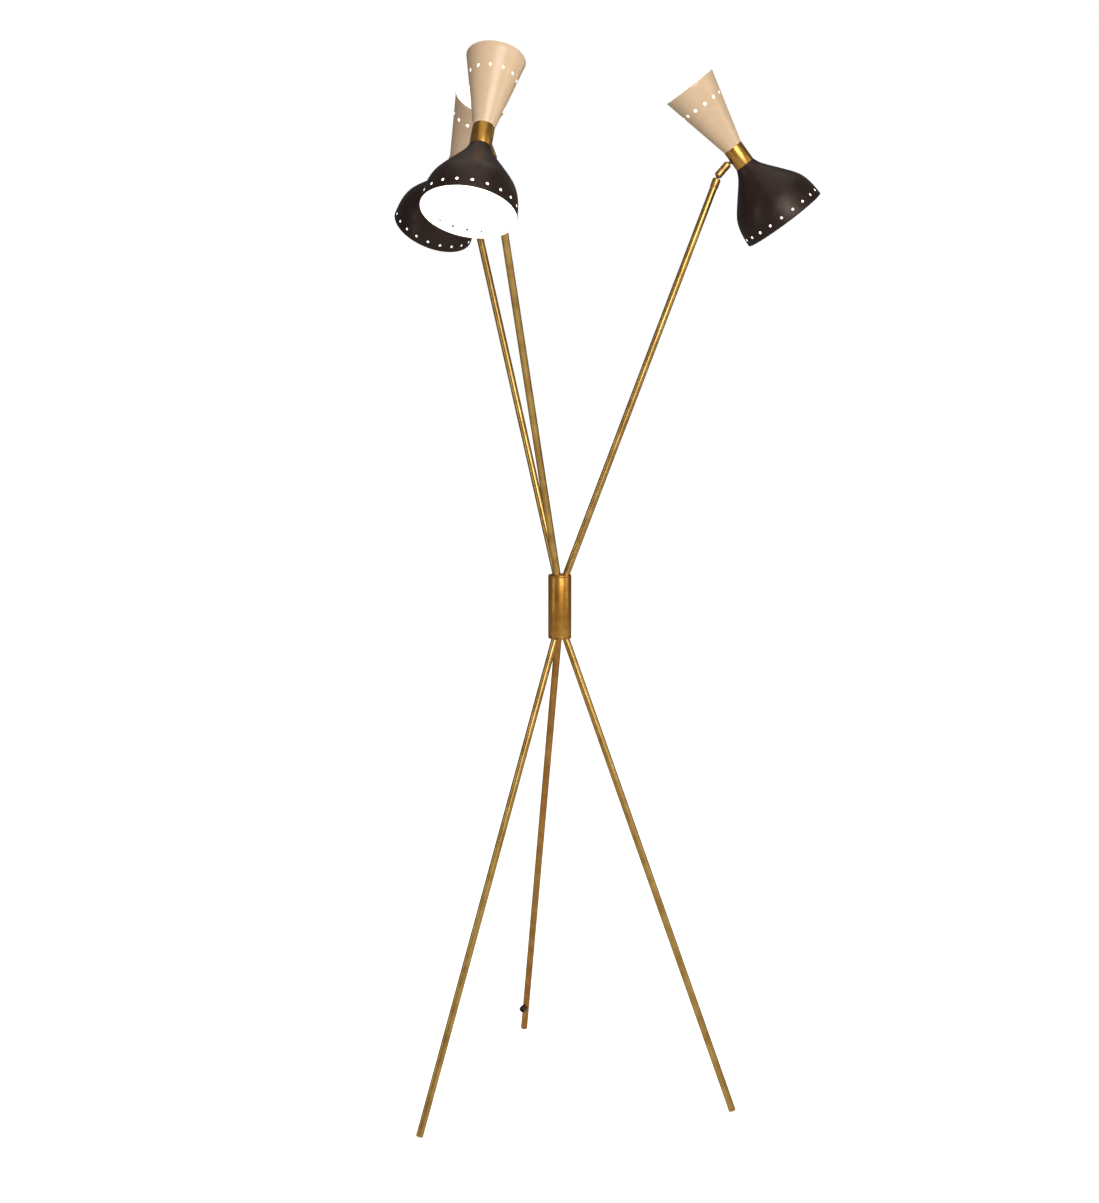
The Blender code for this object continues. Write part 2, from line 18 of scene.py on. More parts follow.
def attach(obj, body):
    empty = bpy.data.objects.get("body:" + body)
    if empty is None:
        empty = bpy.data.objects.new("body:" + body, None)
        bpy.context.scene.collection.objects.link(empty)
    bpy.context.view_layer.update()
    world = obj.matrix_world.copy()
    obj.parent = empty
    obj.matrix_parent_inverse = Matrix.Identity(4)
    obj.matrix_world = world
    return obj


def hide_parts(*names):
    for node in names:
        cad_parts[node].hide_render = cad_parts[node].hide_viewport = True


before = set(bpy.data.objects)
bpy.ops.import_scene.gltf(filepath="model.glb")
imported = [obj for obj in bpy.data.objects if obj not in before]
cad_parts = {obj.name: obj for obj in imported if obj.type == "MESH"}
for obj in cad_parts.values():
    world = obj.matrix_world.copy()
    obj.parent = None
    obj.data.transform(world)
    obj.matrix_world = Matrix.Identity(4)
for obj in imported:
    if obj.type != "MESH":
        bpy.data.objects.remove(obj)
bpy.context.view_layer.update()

# %% [markdown]
# ## The driving sizes
#
# A lamp like this is laid out from a few numbers: the rod, the hub, the circle
# the feet stand on and the circle the arm tips lie on. They are the same numbers
# the solids were made from, so every finer piece lands exactly on its solid.

# %% Driving sizes, in metres and degrees
MM = 0.001
HUB_AXIS = (-71.85 * MM, 17.54 * MM)
HUB_BOTTOM = 836.3 * MM
HUB_TOP = 950.0 * MM
HUB_R = 20.6 * MM
HUB_WALL = 2.0 * MM
CAP_FLANGE = 4.0 * MM
CAP_DEPTH = 8.0 * MM
ROD_R = 6.35 * MM
ROD_BORE_R = 5.2 * MM
ROD_CIRCLE_R = 11.4 * MM
FOOT_CIRCLE_R = 324.2 * MM
ARM_TIP_CIRCLE_R = 275.3 * MM
ARM_TIP_HEIGHT = 1639.0 * MM
LEG_AZIMUTH = {"right": -18.3, "back": 102.3, "left": -138.4}
ARM_AZIMUTH = {"right": 7.0, "back": 127.2, "front": -112.9}
FIT = 0.3 * MM
STEM_RISE = 6.4 * MM
BALL_PITCH = 23.0 * MM
BALL_TO_COLLAR = 8.0 * MM
COLLAR_R = 17.6 * MM
COLLAR_HALF = 18.0 * MM

# turn of the neck, bend of the first ball, bend of the second, roll of the shades
REST_POSE = {
    "right": (0.0, 20.4, 11.2, 0.0),
    "back": (9.0, 20.4, 9.0, -11.0),
    "front": (-2.0, 23.0, 18.2, 4.0)}

ARM_RISE = ARM_TIP_HEIGHT - HUB_TOP
LEG_LEAN = math.degrees(math.atan2(FOOT_CIRCLE_R - ROD_CIRCLE_R, HUB_BOTTOM))
ARM_LEAN = math.degrees(math.atan2(ARM_TIP_CIRCLE_R - ROD_CIRCLE_R, ARM_RISE))
ARM_LENGTH = math.hypot(ARM_RISE, ARM_TIP_CIRCLE_R - ROD_CIRCLE_R)
print("legs lean", round(LEG_LEAN, 2), "arms lean", round(ARM_LEAN, 2), "degrees")

# %% [markdown]
# ## Local frames
#
# Each turned piece is drawn round the Z axis at the origin, where the numbers
# are simple, and only then moved to its place. A frame is a 4 by 4 matrix. A
# chain of moves and turns follows the lamp the way its maker would walk along
# it: up the hub, out to the rod, along the rod, over the first ball, over the
# second ball, into the collar.

# %% Frames of the hub, the rods and the lamps
def turn(axis, degrees):
    return Matrix.Rotation(math.radians(degrees), 4, axis)


def move(x, y, z):
    return Matrix.Translation(Vector((x, y, z)))


def hub_place(height):
    return move(HUB_AXIS[0], HUB_AXIS[1], height)


def leg_place(side):
    start = hub_place(HUB_BOTTOM) @ turn("Z", LEG_AZIMUTH[side]) @ move(ROD_CIRCLE_R, 0, 0)
    return start @ turn("Y", 180.0 - LEG_LEAN)


def arm_place(side):
    start = hub_place(HUB_TOP) @ turn("Z", ARM_AZIMUTH[side]) @ move(ROD_CIRCLE_R, 0, 0)
    return start @ turn("Y", ARM_LEAN)


def lamp_places(side):
    neck_turn, low_bend, high_bend, roll = REST_POSE[side]
    neck = arm_place(side) @ move(0, 0, ARM_LENGTH + STEM_RISE) @ turn("Z", neck_turn)
    barrel = neck @ turn("Y", low_bend)
    pivot = barrel @ move(0, 0, BALL_PITCH) @ turn("Y", high_bend)
    centre = pivot @ move(0, 0, BALL_TO_COLLAR + COLLAR_R) @ turn("Z", roll)
    return {
        "neck": neck,
        "barrel": barrel,
        "barrel_far": barrel @ move(0, 0, BALL_PITCH) @ turn("Y", 180.0),
        "pivot": pivot,
        "stud": centre,
        "down": centre @ turn("Y", 90.0),
        "up": centre @ turn("Y", -90.0)}


for side in ARM_AZIMUTH:
    spot = lamp_places(side)["down"].translation
    print(side, "collar stands at", [round(v, 3) for v in spot])

# %% [markdown]
# ## Spinning a half section
#
# A lathe turns the work while the tool follows an outline. The same is done
# here: one point is extruded from corner to corner of the half section, the
# loop is closed, and Spin sweeps it once round the Z axis. Points that lie on
# the axis fall together and are merged, which leaves a closed solid.

# %% Helpers for turned work
def nothing_selected():
    if bpy.context.object and bpy.context.object.mode != "OBJECT":
        bpy.ops.object.mode_set(mode="OBJECT")
    bpy.ops.object.select_all(action="DESELECT")


def only(piece):
    nothing_selected()
    piece.select_set(True)
    bpy.context.view_layer.objects.active = piece


def turned(name, outline, sides):
    nothing_selected()
    bpy.ops.mesh.primitive_plane_add(size=MM, location=(0, 0, 0))
    piece = bpy.context.object
    piece.name = name
    piece.data.name = name
    bpy.ops.object.mode_set(mode="EDIT")
    bpy.ops.mesh.select_mode(type="VERT")
    bpy.ops.mesh.select_all(action="SELECT")
    bpy.ops.mesh.merge(type="CENTER")
    bpy.ops.transform.translate(value=(outline[0][0], 0, outline[0][1]))
    for before, after in zip(outline, outline[1:]):
        step = (after[0] - before[0], 0, after[1] - before[1])
        bpy.ops.mesh.extrude_region_move(TRANSFORM_OT_translate={"value": step})
    if outline[0][0] > 0 or outline[-1][0] > 0:
        close_chain(piece)
    bpy.ops.mesh.select_all(action="SELECT")
    bpy.ops.mesh.spin(steps=sides, angle=2 * math.pi, center=(0, 0, 0), axis=(0, 0, 1))
    bpy.ops.mesh.select_all(action="SELECT")
    bpy.ops.mesh.remove_doubles(threshold=0.002 * MM)
    bpy.ops.mesh.normals_make_consistent(inside=False)
    bpy.ops.object.mode_set(mode="OBJECT")
    return piece


def close_chain(piece):
    """Join the two loose ends of the drawn chain."""
    shape = bmesh.from_edit_mesh(piece.data)
    for vert in shape.verts:
        vert.select_set(len(vert.link_edges) == 1)
    shape.select_flush_mode()
    bmesh.update_edit_mesh(piece.data)
    bpy.ops.mesh.edge_face_add()


def bevelled(piece, width, angle=30.0, segments=3):
    only(piece)
    edge = piece.modifiers.new("edges", "BEVEL")
    edge.width = width
    edge.segments = segments
    edge.limit_method = "ANGLE"
    edge.angle_limit = math.radians(angle)
    edge.use_clamp_overlap = True
    bpy.ops.object.modifier_apply(modifier=edge.name)
    return piece


def drilled(piece, cutter):
    only(piece)
    hole = piece.modifiers.new("hole", "BOOLEAN")
    hole.operation = "DIFFERENCE"
    hole.solver = "EXACT"
    hole.object = cutter
    bpy.ops.object.modifier_apply(modifier=hole.name)
    bpy.data.objects.remove(cutter, do_unlink=True)
    return piece


def drill(radius, low, high, sides, place):
    nothing_selected()
    bpy.ops.mesh.primitive_cylinder_add(vertices=sides, radius=radius, depth=high - low)
    cutter = bpy.context.object
    cutter.matrix_world = place @ move(0, 0, (low + high) / 2)
    return cutter


def copied(piece, name):
    twin = piece.copy()
    twin.data = piece.data.copy()
    twin.name = name
    twin.data.name = name
    bpy.context.scene.collection.objects.link(twin)
    return twin


made = []
PATTERN_SHIFT = (1.0, 0.7, 1.3)     # moves the clouds of a finish from piece to piece


def fitted(piece, place, body, node, finish, shift=0.0, smooth=35.0):
    """Keep the piece's own coordinates for its finish, then put it in its place."""
    own = piece.data.attributes.new("own_place", "FLOAT_VECTOR", "POINT")
    for index, vert in enumerate(piece.data.vertices):
        own.data[index].vector = vert.co + shift * Vector(PATTERN_SHIFT)
    if finish:
        piece.data.materials.clear()
        piece.data.materials.append(finish)
    piece.matrix_world = place
    only(piece)
    bpy.ops.object.transform_apply(location=True, rotation=True, scale=True)
    bpy.ops.object.shade_smooth_by_angle(angle=math.radians(smooth))
    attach(piece, body)
    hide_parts(node)
    made.append(piece)
    return piece

# %% [markdown]
# ## Finishes: aged brass
#
# Old brass darkens unevenly under its thin lacquer: cloudy brown patches lie
# over a golden ground, and fine draw marks run along the rod. The material reads
# the piece's own coordinates, kept as an attribute before the piece was moved,
# so that the draw marks follow each rod whichever way it leans. A wide noise
# makes the clouds, a stretched one makes the marks and their faint bump, and a
# third one moves the roughness. The lacquer is the shader's coat.

# %% Node helpers and the brass finish
def new_finish(name):
    finish = bpy.data.materials.new(name)
    finish.use_nodes = True
    return finish, finish.node_tree.nodes, finish.node_tree.links


def own_place(nodes, links, scale):
    place = nodes.new("ShaderNodeAttribute")
    place.attribute_name = "own_place"
    stretch = nodes.new("ShaderNodeMapping")
    stretch.inputs["Scale"].default_value = scale
    links.new(place.outputs["Vector"], stretch.inputs["Vector"])
    return stretch.outputs["Vector"]


def noise(nodes, links, vector, scale, detail=4.0, rough=0.55):
    cloud = nodes.new("ShaderNodeTexNoise")
    cloud.inputs["Scale"].default_value = scale
    cloud.inputs["Detail"].default_value = detail
    cloud.inputs["Roughness"].default_value = rough
    links.new(vector, cloud.inputs["Vector"])
    return cloud.outputs["Fac"]


def ramp(nodes, links, value, stops):
    band = nodes.new("ShaderNodeValToRGB")
    while len(band.color_ramp.elements) < len(stops):
        band.color_ramp.elements.new(0.5)
    for element, (position, colour) in zip(band.color_ramp.elements, stops):
        element.position = position
        element.color = (*colour, 1.0)
    links.new(value, band.inputs["Fac"])
    return band.outputs["Color"]


def mixed(nodes, links, kind, amount, one, two):
    blend = nodes.new("ShaderNodeMix")
    blend.data_type = "RGBA"
    blend.blend_type = kind
    blend.inputs["Factor"].default_value = amount
    links.new(one, blend.inputs["A"])
    links.new(two, blend.inputs["B"])
    return blend.outputs["Result"]


def spread(nodes, links, value, low, high):
    span = nodes.new("ShaderNodeMapRange")
    span.inputs["From Min"].default_value = 0.3
    span.inputs["From Max"].default_value = 0.7
    span.inputs["To Min"].default_value = low
    span.inputs["To Max"].default_value = high
    links.new(value, span.inputs["Value"])
    return span.outputs["Result"]


def bumped(nodes, links, height, strength, distance, shader):
    bump = nodes.new("ShaderNodeBump")
    bump.inputs["Strength"].default_value = strength
    bump.inputs["Distance"].default_value = distance
    links.new(height, bump.inputs["Height"])
    links.new(bump.outputs["Normal"], shader.inputs["Normal"])


MARK_TONE = (0.72, 0.68, 0.60)      # how much darker a draw mark is


def brass(name, dark, middle, light, rough_low, rough_high, marks):
    """marks is the stretch of the fine lines: small along the way they run."""
    finish, nodes, links = new_finish(name)
    shader = nodes["Principled BSDF"]
    shader.inputs["Metallic"].default_value = 1.0
    shader.inputs["Coat Weight"].default_value = 0.35
    shader.inputs["Coat Roughness"].default_value = 0.2
    even = own_place(nodes, links, (1, 1, 1))
    clouds = noise(nodes, links, even, 34.0, 4.0, 0.55)
    colour = ramp(nodes, links, clouds, ((0.28, dark), (0.50, middle), (0.74, light)))
    lines = noise(nodes, links, own_place(nodes, links, marks), 1500.0, 2.0, 0.5)
    tone = ramp(nodes, links, lines, ((0.25, MARK_TONE), (0.7, (1.0, 1.0, 1.0))))
    colour = mixed(nodes, links, "MULTIPLY", 0.45, colour, tone)
    links.new(colour, shader.inputs["Base Color"])
    specks = noise(nodes, links, even, 120.0, 3.0, 0.5)
    links.new(spread(nodes, links, specks, rough_low, rough_high), shader.inputs["Roughness"])
    bumped(nodes, links, lines, 0.02, 0.00002, shader)
    return finish


ALONG = (1.0, 1.0, 0.02)            # draw marks run along the piece
AROUND = (0.04, 0.04, 1.0)          # tool marks run round the piece
rod_brass = brass(
    "rod brass", (0.42, 0.225, 0.050), (0.60, 0.365, 0.095), (0.74, 0.49, 0.16), 0.30, 0.38, ALONG)
back_brass = brass(
    "browner rod brass", (0.38, 0.160, 0.028), (0.53, 0.255, 0.050), (0.66, 0.36, 0.09), 0.30, 0.38, ALONG)
hub_brass = brass(
    "hub brass", (0.42, 0.180, 0.024), (0.56, 0.273, 0.042), (0.68, 0.37, 0.078), 0.37, 0.45, ALONG)
swivel_brass = brass(
    "swivel brass", (0.44, 0.215, 0.050), (0.56, 0.315, 0.085), (0.66, 0.41, 0.13), 0.36, 0.42, AROUND)
collar_brass = brass(
    "collar brass", (0.52, 0.262, 0.045), (0.59, 0.318, 0.062), (0.67, 0.39, 0.09), 0.33, 0.38, ALONG)
# This darkest brass is painted shade: the necks, studs and cable snout are made dark brown to stand for the
# shadow they sit in.
painted_shade_metal = brass(
    "painted shade metal", (0.04, 0.021, 0.007), (0.09, 0.048, 0.015), (0.16, 0.09, 0.028), 0.30, 0.45, AROUND)
brasses = (rod_brass, back_brass, hub_brass, swivel_brass, collar_brass, painted_shade_metal)
print("brass finishes:", [finish.name for finish in brasses])

# %% [markdown]
# ## Finishes: enamel, lining, glass and rubber
#
# The shades are spun from thin sheet, sprayed with enamel outside and with white
# inside. Sprayed enamel has a faint orange peel and a few cloudy differences of
# gloss, so a fine noise bumps it and a wide one moves the roughness. The white
# lining is given a gentle painted glow, an emission that stands in for the light
# of the lit bulb inside it; the bulb itself glows much more strongly behind its
# opal glass.

# %% Enamel, glow and small finishes
def enamel(name, deep, fair, roughness, peel, coat):
    finish, nodes, links = new_finish(name)
    shader = nodes["Principled BSDF"]
    even = own_place(nodes, links, (1, 1, 1))
    clouds = noise(nodes, links, even, 16.0, 4.0, 0.6)
    links.new(ramp(nodes, links, clouds, ((0.32, deep), (0.68, fair))), shader.inputs["Base Color"])
    smears = noise(nodes, links, even, 55.0, 5.0, 0.65)
    gloss = spread(nodes, links, smears, roughness * 0.8, roughness * 1.25)
    links.new(gloss, shader.inputs["Roughness"])
    grain = noise(nodes, links, even, 500.0, 2.0, 0.5)
    bumped(nodes, links, grain, peel, 0.00005, shader)
    shader.inputs["Coat Weight"].default_value = coat
    shader.inputs["Coat Roughness"].default_value = 0.22
    return finish


def glowing(name, warm, white, strength, roughness):
    finish, nodes, links = new_finish(name)
    shader = nodes["Principled BSDF"]
    even = own_place(nodes, links, (1, 1, 1))
    clouds = noise(nodes, links, even, 20.0, 3.0, 0.5)
    tint = ramp(nodes, links, clouds, ((0.3, warm), (0.7, white)))
    links.new(tint, shader.inputs["Base Color"])
    links.new(tint, shader.inputs["Emission Color"])
    shader.inputs["Emission Strength"].default_value = strength
    grain = noise(nodes, links, even, 900.0, 2.0, 0.5)
    gloss = spread(nodes, links, grain, roughness * 0.85, roughness * 1.15)
    links.new(gloss, shader.inputs["Roughness"])
    bumped(nodes, links, grain, 0.05, 0.00006, shader)
    return finish


cream_enamel = enamel("cream enamel", (0.715, 0.510, 0.325), (0.765, 0.570, 0.380), 0.34, 0.02, 0.25)
dark_enamel = enamel("dark enamel", (0.0110, 0.0058, 0.0048), (0.0190, 0.0105, 0.0088), 0.42, 0.03, 0.0)
dark_shader = dark_enamel.node_tree.nodes["Principled BSDF"]
dark_shader.inputs["Specular Tint"].default_value = (0.86, 0.68, 0.60, 1.0)
# The lining's emission is painted glow: it stands in for the bulb's light falling on the white inside.
lining_painted_glow = glowing("lining painted glow", (0.93, 0.88, 0.78), (0.97, 0.94, 0.88), 0.85, 0.45)
opal_glass = glowing("opal glass", (1.0, 0.88, 0.70), (1.0, 0.94, 0.82), 4.0, 0.25)
porcelain = enamel("porcelain", (0.66, 0.62, 0.55), (0.76, 0.73, 0.68), 0.22, 0.03, 0.3)
rubber = enamel("black rubber", (0.006, 0.005, 0.004), (0.014, 0.012, 0.010), 0.38, 0.12, 0.0)
others = (cream_enamel, dark_enamel, lining_painted_glow, opal_glass, porcelain, rubber)
print("other finishes:", [finish.name for finish in others])

# %% [markdown]
# ## The hub
#
# The hub is a drawn tube closed by two turned plugs. Its ends are rounded over
# just enough to catch a bright line, and each plug is bored three times on the
# slant, where the rods go in. The caps are spun, bored with a Boolean, and their
# rim gets its round from the outline itself.

# %% Hub sleeve and caps
HUB_STEPS = 96
CAP_CORNER = 1.5 * MM
BORE_PLAY = 0.22 * MM
BORE_STEPS = 48


def round_corner(corner, radius, first, last, steps):
    """Points of a quarter round, with angles from the outward radius, in degrees."""
    points = []
    for step in range(steps + 1):
        angle = math.radians(first + (last - first) * step / steps)
        points.append((corner[0] + radius * math.cos(angle), corner[1] + radius * math.sin(angle)))
    return points


def make_hub():
    length = HUB_TOP - HUB_BOTTOM
    low = CAP_FLANGE + 0.5 * FIT
    high = length - low
    inner = HUB_R - HUB_WALL
    wall = [(inner, low), (HUB_R, low), (HUB_R, high), (inner, high)]
    sleeve = turned("hub_barrel", wall, HUB_STEPS)
    bevelled(sleeve, 0.12 * MM, segments=2)
    fitted(sleeve, hub_place(HUB_BOTTOM), "stand", "hub_sleeve", hub_brass)
    spigot = inner - FIT
    outline = [(0, 0)]
    outline += round_corner((HUB_R - CAP_CORNER, -CAP_CORNER), CAP_CORNER, 90, 0, 6)
    outline += [(HUB_R, -CAP_FLANGE), (spigot, -CAP_FLANGE), (spigot, -CAP_DEPTH), (0, -CAP_DEPTH)]
    rods = {
        "top": (hub_place(HUB_TOP), [arm_place(s) for s in ARM_AZIMUTH]),
        "bottom": (hub_place(HUB_BOTTOM) @ turn("X", 180.0), [leg_place(s) for s in LEG_AZIMUTH])}
    for end, (place, bores) in rods.items():
        cap = turned("hub_end_" + end, outline, HUB_STEPS)
        for bore in bores:
            reach = 3 * CAP_DEPTH
            drilled(cap, drill(ROD_R + BORE_PLAY, -reach, reach, BORE_STEPS, place.inverted() @ bore))
        bevelled(cap, 0.25 * MM, angle=50.0, segments=2)
        fitted(cap, place, "stand", "hub_" + end + "_cap", hub_brass, shift=0.05)
        print(cap.name, len(cap.data.polygons), "faces")


make_hub()

# %% [markdown]
# ## Legs and feet
#
# A leg is plain half-inch tube. Its end is closed by a turned plug that looks
# like the rod itself, cut square, with its edge just broken. The lowest corner
# is ground flat so that the lamp doesn't scratch the floor. The flat is made by
# bisecting the plug with the floor plane and filling the cut.

# %% Legs and feet
ROD_STEPS = 48
FOOT_LENGTH = 7.0 * MM
FOOT_EDGE = 0.8 * MM
FOOT_SPIGOT = 9.0 * MM
FLAT_GROUND = 1.1 * MM
RINGS_PER_ROD = 24
FOOT_SEAM = 0.1 * MM


def tube_outline(start, stop):
    """A tube section with extra rings, so that the rod shades evenly."""
    levels = [start + (stop - start) * step / RINGS_PER_ROD for step in range(RINGS_PER_ROD + 1)]
    outer = [(ROD_R, level) for level in levels]
    return [(ROD_BORE_R, start)] + outer + [(ROD_BORE_R, stop)]


def foot_reach():
    angle = math.radians(LEG_LEAN)
    return (HUB_BOTTOM - ROD_R * math.sin(angle) + FLAT_GROUND) / math.cos(angle)


def ground_flat(foot, place):
    only(foot)
    back = place.inverted()
    point = back @ Vector((place.translation.x, place.translation.y, 0))
    up = (back.to_3x3() @ Vector((0, 0, 1))).normalized()
    bpy.ops.object.mode_set(mode="EDIT")
    bpy.ops.mesh.select_all(action="SELECT")
    bpy.ops.mesh.bisect(plane_co=point, plane_no=up, use_fill=True, clear_inner=True)
    bpy.ops.mesh.select_all(action="SELECT")
    bpy.ops.mesh.normals_make_consistent(inside=False)
    bpy.ops.object.mode_set(mode="OBJECT")


NOZZLE_ABOVE_FOOT = 55.0 * MM
NOZZLE_SIDE = Vector((-0.55, -0.84, 0.0))   # the way the snout looks out
NOZZLE_DIVE = 0.08                          # and how much it dips along the leg
OUTLET_HOLE_R = 3.0 * MM
OUTLET_HOLE_REACH = 30.0 * MM


def nozzle_place():
    """The snout's frame: its Z axis leaves the back leg sideways."""
    place = leg_place("back") @ move(0, 0, foot_reach() - NOZZLE_ABOVE_FOOT)
    down_leg = (place.to_3x3() @ Vector((0, 0, 1))).normalized()
    side = (NOZZLE_SIDE - NOZZLE_SIDE.dot(down_leg) * down_leg).normalized()
    out = (side + NOZZLE_DIVE * down_leg).normalized()
    across = down_leg.cross(side).normalized()
    third = out.cross(across).normalized()
    turned_to = Matrix((across, third, out)).transposed()
    if turned_to.determinant() < 0:
        turned_to = Matrix((-across, third, out)).transposed()
    return Matrix.Translation(place.translation) @ turned_to.to_4x4()


def make_legs():
    end = foot_reach()
    stop = end - FOOT_LENGTH - 0.15 * MM
    spigot = ROD_BORE_R - FIT
    plug = [(0, stop - FOOT_SPIGOT), (spigot, stop - FOOT_SPIGOT)]
    plug += [(spigot, stop + FOOT_SEAM), (ROD_R, stop + FOOT_SEAM)]
    plug += round_corner((ROD_R - FOOT_EDGE, end - FOOT_EDGE), FOOT_EDGE, 0, 90, 5)
    plug += [(0, end)]
    for number, side in enumerate(LEG_AZIMUTH):
        place = leg_place(side)
        leg = turned("leg_rod_" + side, tube_outline(-CAP_DEPTH, stop), ROD_STEPS)
        if side == "back":
            spot = place.inverted() @ nozzle_place()
            drilled(leg, drill(OUTLET_HOLE_R, 0, OUTLET_HOLE_REACH, 24, spot))
        finish = back_brass if side == "back" else rod_brass
        fitted(leg, place, "stand", "leg_" + side, finish, shift=0.3 * number)
        foot = turned("foot_plug_" + side, plug, ROD_STEPS)
        ground_flat(foot, place)
        fitted(foot, place, "stand", "foot_" + side, finish, shift=0.3 * number)
    print("legs", round(end, 4), "m long")


make_legs()

# %% [markdown]
# ## The cable outlet
#
# Low on the back leg a small snout lets the supply cord out. It is a turned,
# drop-shaped piece, hollowed from its mouth, with its base cut to sit on the
# round rod. A domed black rubber ring sits on the mouth and reaches into it, so
# that the cord wouldn't chafe. The cord itself isn't part of this lamp, so only
# its outlet is made.

# %% Snout and lining
NOZZLE_R = 6.4 * MM
NOZZLE_BORE_R = 4.5 * MM
NOZZLE_REACH = 12.4 * MM
NOZZLE_STEPS = 40
RING_BORE_R = 2.2 * MM
RING_DEPTH = 3.4 * MM
RING_SEAM = 0.1 * MM
SADDLE_PLAY = 0.15 * MM
SADDLE_STEPS = 64


def smoothed(points, steps):
    """A soft curve through the points (Catmull-Rom), steps pieces to each span."""
    first = points[0]
    last = points[-1]
    run = [(2 * first[0] - points[1][0], 2 * first[1] - points[1][1])] + list(points)
    run.append((2 * last[0] - points[-2][0], 2 * last[1] - points[-2][1]))
    curve = []
    for a, b, c, d in zip(run, run[1:], run[2:], run[3:]):
        for step in range(steps):
            t = step / steps
            curve.append(tuple(
                0.5 * (2 * q + (r - p) * t + (2 * p - 5 * q + 4 * r - s) * t * t
                       + (3 * q - p - 3 * r + s) * t ** 3)
                for p, q, r, s in zip(a, b, c, d)))
    curve.append(last)
    return curve


def make_outlet():
    place = nozzle_place()
    wide = NOZZLE_R
    mouth = NOZZLE_REACH
    skin = smoothed([(0.0, -5.0 * MM), (wide * 0.5, -3.6 * MM), (wide * 0.82, 0.0),
                     (wide, mouth * 0.6), (wide * 0.94, mouth)], 5)
    skin[0] = (0.0, -5.0 * MM)
    outline = skin + [(NOZZLE_BORE_R, mouth), (NOZZLE_BORE_R, 0.0), (0.0, 0.0)]
    snout = turned("cable_snout", outline, NOZZLE_STEPS)
    rod = place.inverted() @ leg_place("back") @ move(0, 0, foot_reach())
    drilled(snout, drill(ROD_R + SADDLE_PLAY, -60 * MM, 30 * MM, SADDLE_STEPS, rod))
    # The snout's dark brown is painted shade.
    fitted(snout, place, "stand", "cable_nozzle", painted_shade_metal)
    neck = NOZZLE_BORE_R - FIT
    low = mouth - RING_DEPTH
    lip = wide * 0.95
    dome = [(lip - 0.3 * MM, mouth + RING_SEAM), (lip, mouth + 1.0 * MM), (lip - 0.7 * MM, mouth + 2.1 * MM),
            (4.2 * MM, mouth + 2.7 * MM), (3.0 * MM, mouth + 2.5 * MM), (RING_BORE_R, mouth + 1.7 * MM)]
    ring = [(RING_BORE_R, low), (neck, low), (neck, mouth + RING_SEAM)] + smoothed(dome, 4)
    lining = turned("cable_lining", ring, NOZZLE_STEPS)
    fitted(lining, place, "stand", "cable_bushing", rubber)
    print("snout reaches", round(mouth / MM, 1), "mm from the leg's axis")


make_outlet()

# %% [markdown]
# ## Arms and ferrules
#
# The arms are the same tube. Each ends in a ferrule, a turned cap a little
# thicker than the rod, softly domed round the hole where the neck comes out.

# %% Arms and ferrules
FERRULE_R = 7.2 * MM
FERRULE_LENGTH = 17.0 * MM
FERRULE_SOLID = 5.0 * MM
FERRULE_EDGE = 0.7 * MM
FERRULE_STEPS = 48
STEM_R = 2.1 * MM


def make_arms():
    top = ARM_LENGTH
    inside = ROD_R + 0.12 * MM
    corner = (FERRULE_R - FERRULE_EDGE, top - FERRULE_LENGTH + FERRULE_EDGE)
    shell = [(inside, top - FERRULE_LENGTH)]
    shell += round_corner(corner, FERRULE_EDGE, -90, 0, 4)
    shell += smoothed([(FERRULE_R, top - 3.4 * MM), (FERRULE_R - 0.35 * MM, top - 1.7 * MM),
                       (FERRULE_R - 1.3 * MM, top - 0.55 * MM), (FERRULE_R - 2.6 * MM, top)], 3)
    shell += [(STEM_R + FIT, top), (STEM_R + FIT, top - FERRULE_SOLID), (inside, top - FERRULE_SOLID)]
    tube = tube_outline(-CAP_DEPTH, top - FERRULE_SOLID - FIT)
    for number, side in enumerate(ARM_AZIMUTH):
        place = arm_place(side)
        arm = turned("arm_rod_" + side, tube, ROD_STEPS)
        fitted(arm, place, "stand", "arm_" + side, rod_brass, shift=1.1 + 0.3 * number)
        cap = turned("arm_ferrule_" + side, shell, FERRULE_STEPS)
        fitted(cap, place, "stand", "ferrule_" + side, swivel_brass, shift=0.2 * number)
    print("arms", round(top, 4), "m long")


make_arms()

# %% [markdown]
# ## The swivel
#
# A thin neck turns in the ferrule and ends in a ball. Two half barrels hold that
# ball and a second one, whose stud goes into the collar. A fine groove shows
# where the halves are screwed together. Both balls are real, and the barrel
# ends are open cups round them, so the swivel still looks right when it bends.

# %% Neck, half barrels and stud
BALL_R = 5.2 * MM
CUP_R = 5.6 * MM
BARREL_R = 6.7 * MM
BARREL_LIP = 3.0 * MM
GROOVE_DEPTH = 0.75 * MM
STEM_DISC_R = 4.2 * MM
STEM_DISC = 1.6 * MM
STUD_HEAD_R = 4.0 * MM
STUD_HEAD = 1.3 * MM


def ball_arc(radius, first, last, steps):
    """Half section of a ball, with angles from its lower pole."""
    points = []
    for step in range(steps + 1):
        angle = math.radians(first + (last - first) * step / steps)
        points.append((radius * math.sin(angle), -radius * math.cos(angle)))
    return points


def neck_outline():
    under = -STEM_RISE - FERRULE_SOLID - FIT
    blend = math.degrees(math.asin(STEM_R / BALL_R))
    disc = [(0, under - STEM_DISC), (STEM_DISC_R, under - STEM_DISC), (STEM_DISC_R, under)]
    return disc + [(STEM_R, under)] + ball_arc(BALL_R, blend, 180, 18)[:-1] + [(0, BALL_R)]


